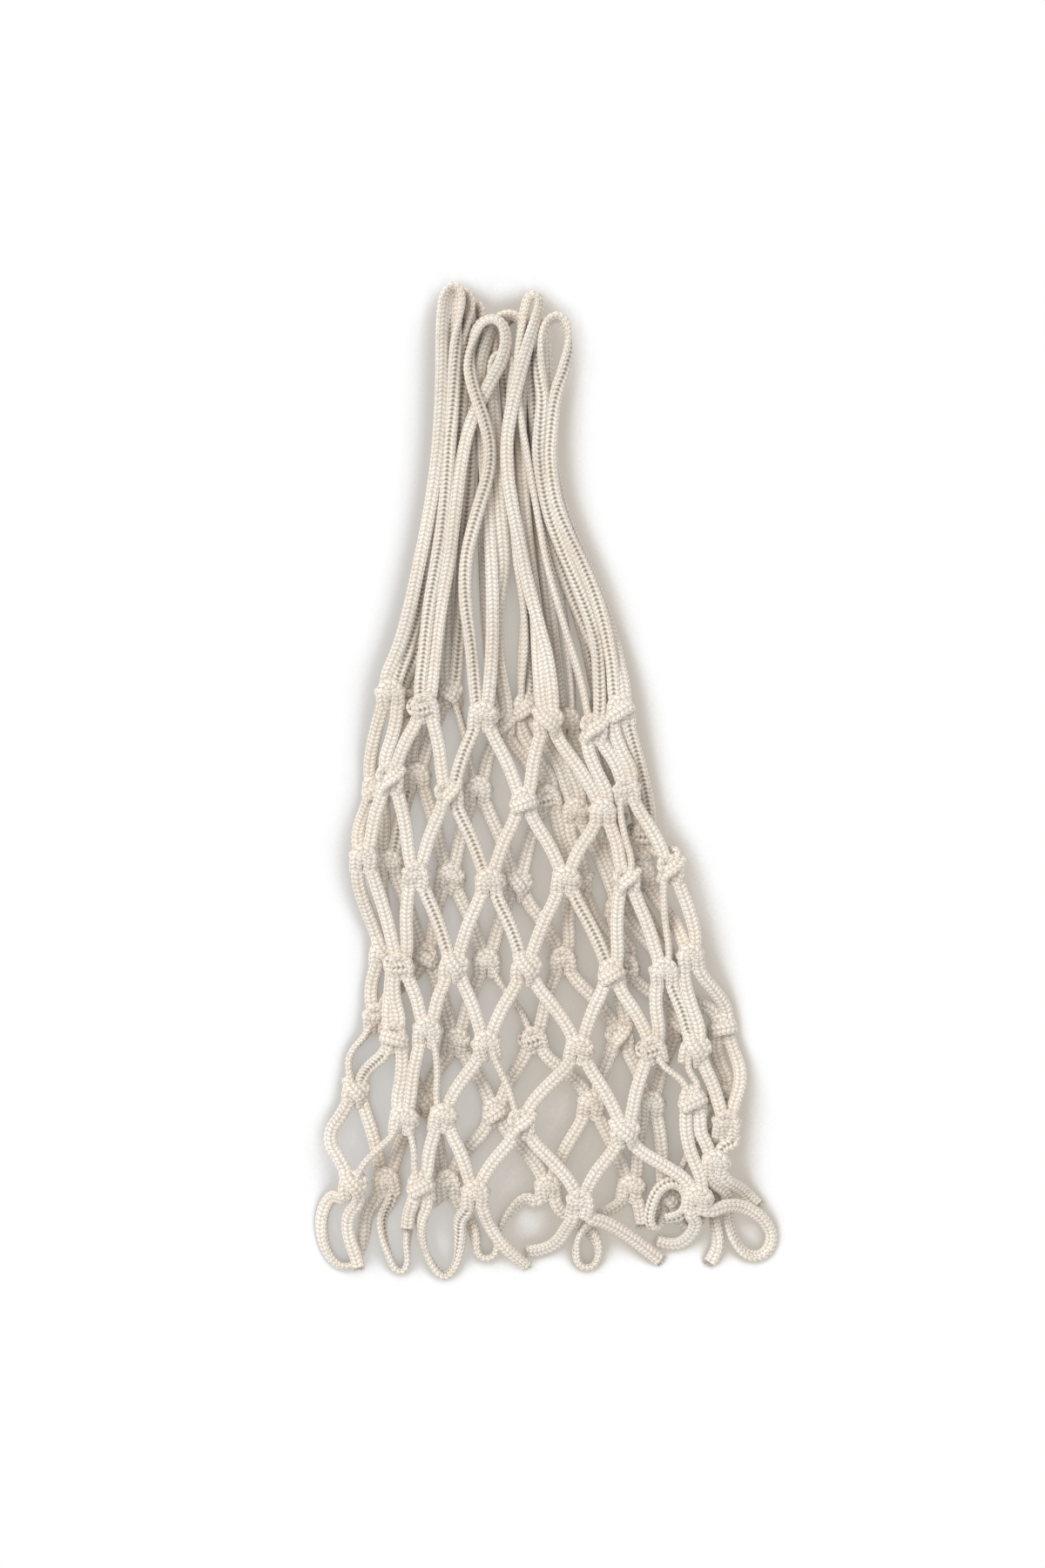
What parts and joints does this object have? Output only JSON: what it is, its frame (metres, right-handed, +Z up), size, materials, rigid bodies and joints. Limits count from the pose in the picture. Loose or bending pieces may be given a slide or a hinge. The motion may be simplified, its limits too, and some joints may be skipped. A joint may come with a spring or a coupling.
{
  "type": "hoop net",
  "caption": "Knotted hoop net of cream flat braid, laid flat, with gathered hanging loops at the top and a fringe of loops and cut tails at the bottom.",
  "frame": {"origin": "on the surface the net lies on, under the middle of its box", "axes": "+Y runs from the cut bottom end to the hanging loops, +X to the right with the loops at the top, +Z up through the flattened net"},
  "size_m": [0.2103, 0.4568, 0.0193],
  "materials": {
    "loop_cord": "cream flat braided cord, matt",
    "mesh_cord": "cream flat braided cord, matt",
    "knot_cord": "cream flat braided cord pulled into knots, matt",
    "fringe_cord": "cream flat braided cord with cut, lightly frayed ends, matt"
  },
  "bodies": {
    "hanging_loops": {"hanging_loop_01": "loop_cord", "hanging_loop_02": "loop_cord", "hanging_loop_03": "loop_cord", "hanging_loop_04": "loop_cord", "hanging_loop_05": "loop_cord", "hanging_loop_06": "loop_cord", "hanging_loop_07": "loop_cord", "hanging_loop_08": "loop_cord", "hanging_loop_09": "loop_cord", "hanging_loop_10": "loop_cord", "hanging_loop_11": "loop_cord", "hanging_loop_12": "loop_cord", "knots_row_1_front": "knot_cord", "knots_row_1_back": "knot_cord"},
    "mesh_round_1": {"mesh_legs_1_front": "mesh_cord", "mesh_legs_1_back": "mesh_cord", "knots_row_2_front": "knot_cord", "knots_row_2_back": "knot_cord"},
    "mesh_round_2": {"mesh_legs_2_front": "mesh_cord", "mesh_legs_2_back": "mesh_cord", "knots_row_3_front": "knot_cord", "knots_row_3_back": "knot_cord"},
    "mesh_round_3": {"mesh_legs_3_front": "mesh_cord", "mesh_legs_3_back": "mesh_cord", "knots_row_4_front": "knot_cord", "knots_row_4_back": "knot_cord"},
    "mesh_round_4": {"mesh_legs_4_front": "mesh_cord", "mesh_legs_4_back": "mesh_cord", "knots_row_5_front": "knot_cord", "knots_row_5_back": "knot_cord"},
    "mesh_round_5": {"mesh_legs_5_front": "mesh_cord", "mesh_legs_5_back": "mesh_cord", "knots_row_6_front": "knot_cord", "knots_row_6_back": "knot_cord"},
    "mesh_round_6": {"mesh_legs_6_front": "mesh_cord", "mesh_legs_6_back": "mesh_cord", "knots_row_7_front": "knot_cord", "knots_row_7_back": "knot_cord"},
    "bottom_fringe": {"bottom_loop_1": "fringe_cord", "bottom_loop_2": "fringe_cord", "bottom_loop_3": "fringe_cord", "bottom_loop_4": "fringe_cord", "bottom_loop_5": "fringe_cord", "bottom_loop_6": "fringe_cord", "bottom_loop_7": "fringe_cord", "cut_tail_01": "fringe_cord", "cut_tail_02": "fringe_cord", "cut_tail_03": "fringe_cord", "cut_tail_04": "fringe_cord", "cut_tail_05": "fringe_cord", "cut_tail_06": "fringe_cord", "cut_tail_07": "fringe_cord", "cut_tail_08": "fringe_cord", "cut_tail_09": "fringe_cord", "cut_tail_10": "fringe_cord"}
  },
  "joints": [
    {"name": "fold_row_1", "type": "hinge", "parent": "hanging_loops", "child": "mesh_round_1", "pos_m": [0, 0.031, 0.00965], "axis": [1, 0, 0], "range_deg": [-30, 30], "deforming": ["mesh_legs_1_front", "mesh_legs_1_back"]},
    {"name": "fold_row_2", "type": "hinge", "parent": "mesh_round_1", "child": "mesh_round_2", "pos_m": [0, -0.008, 0.00965], "axis": [1, 0, 0], "range_deg": [-30, 30], "deforming": ["mesh_legs_2_front", "mesh_legs_2_back"]},
    {"name": "fold_row_3", "type": "hinge", "parent": "mesh_round_2", "child": "mesh_round_3", "pos_m": [0, -0.043, 0.00965], "axis": [1, 0, 0], "range_deg": [-30, 30], "deforming": ["mesh_legs_3_front", "mesh_legs_3_back"]},
    {"name": "fold_row_4", "type": "hinge", "parent": "mesh_round_3", "child": "mesh_round_4", "pos_m": [0, -0.084, 0.00965], "axis": [1, 0, 0], "range_deg": [-30, 30], "deforming": ["mesh_legs_4_front", "mesh_legs_4_back"]},
    {"name": "fold_row_5", "type": "hinge", "parent": "mesh_round_4", "child": "mesh_round_5", "pos_m": [0, -0.117, 0.00965], "axis": [1, 0, 0], "range_deg": [-30, 30], "deforming": ["mesh_legs_5_front", "mesh_legs_5_back"]},
    {"name": "fold_row_6", "type": "hinge", "parent": "mesh_round_5", "child": "mesh_round_6", "pos_m": [0, -0.151, 0.00965], "axis": [1, 0, 0], "range_deg": [-30, 30], "deforming": ["mesh_legs_6_front", "mesh_legs_6_back"]},
    {"name": "fold_row_7", "type": "hinge", "parent": "mesh_round_6", "child": "bottom_fringe", "pos_m": [0, -0.185, 0.00965], "axis": [1, 0, 0], "range_deg": [-30, 30], "deforming": ["bottom_loop_1", "bottom_loop_2", "bottom_loop_3", "bottom_loop_4", "bottom_loop_5", "bottom_loop_6", "bottom_loop_7", "cut_tail_01", "cut_tail_02", "cut_tail_03", "cut_tail_04", "cut_tail_05", "cut_tail_06", "cut_tail_07", "cut_tail_08", "cut_tail_09", "cut_tail_10"]}
  ]
}
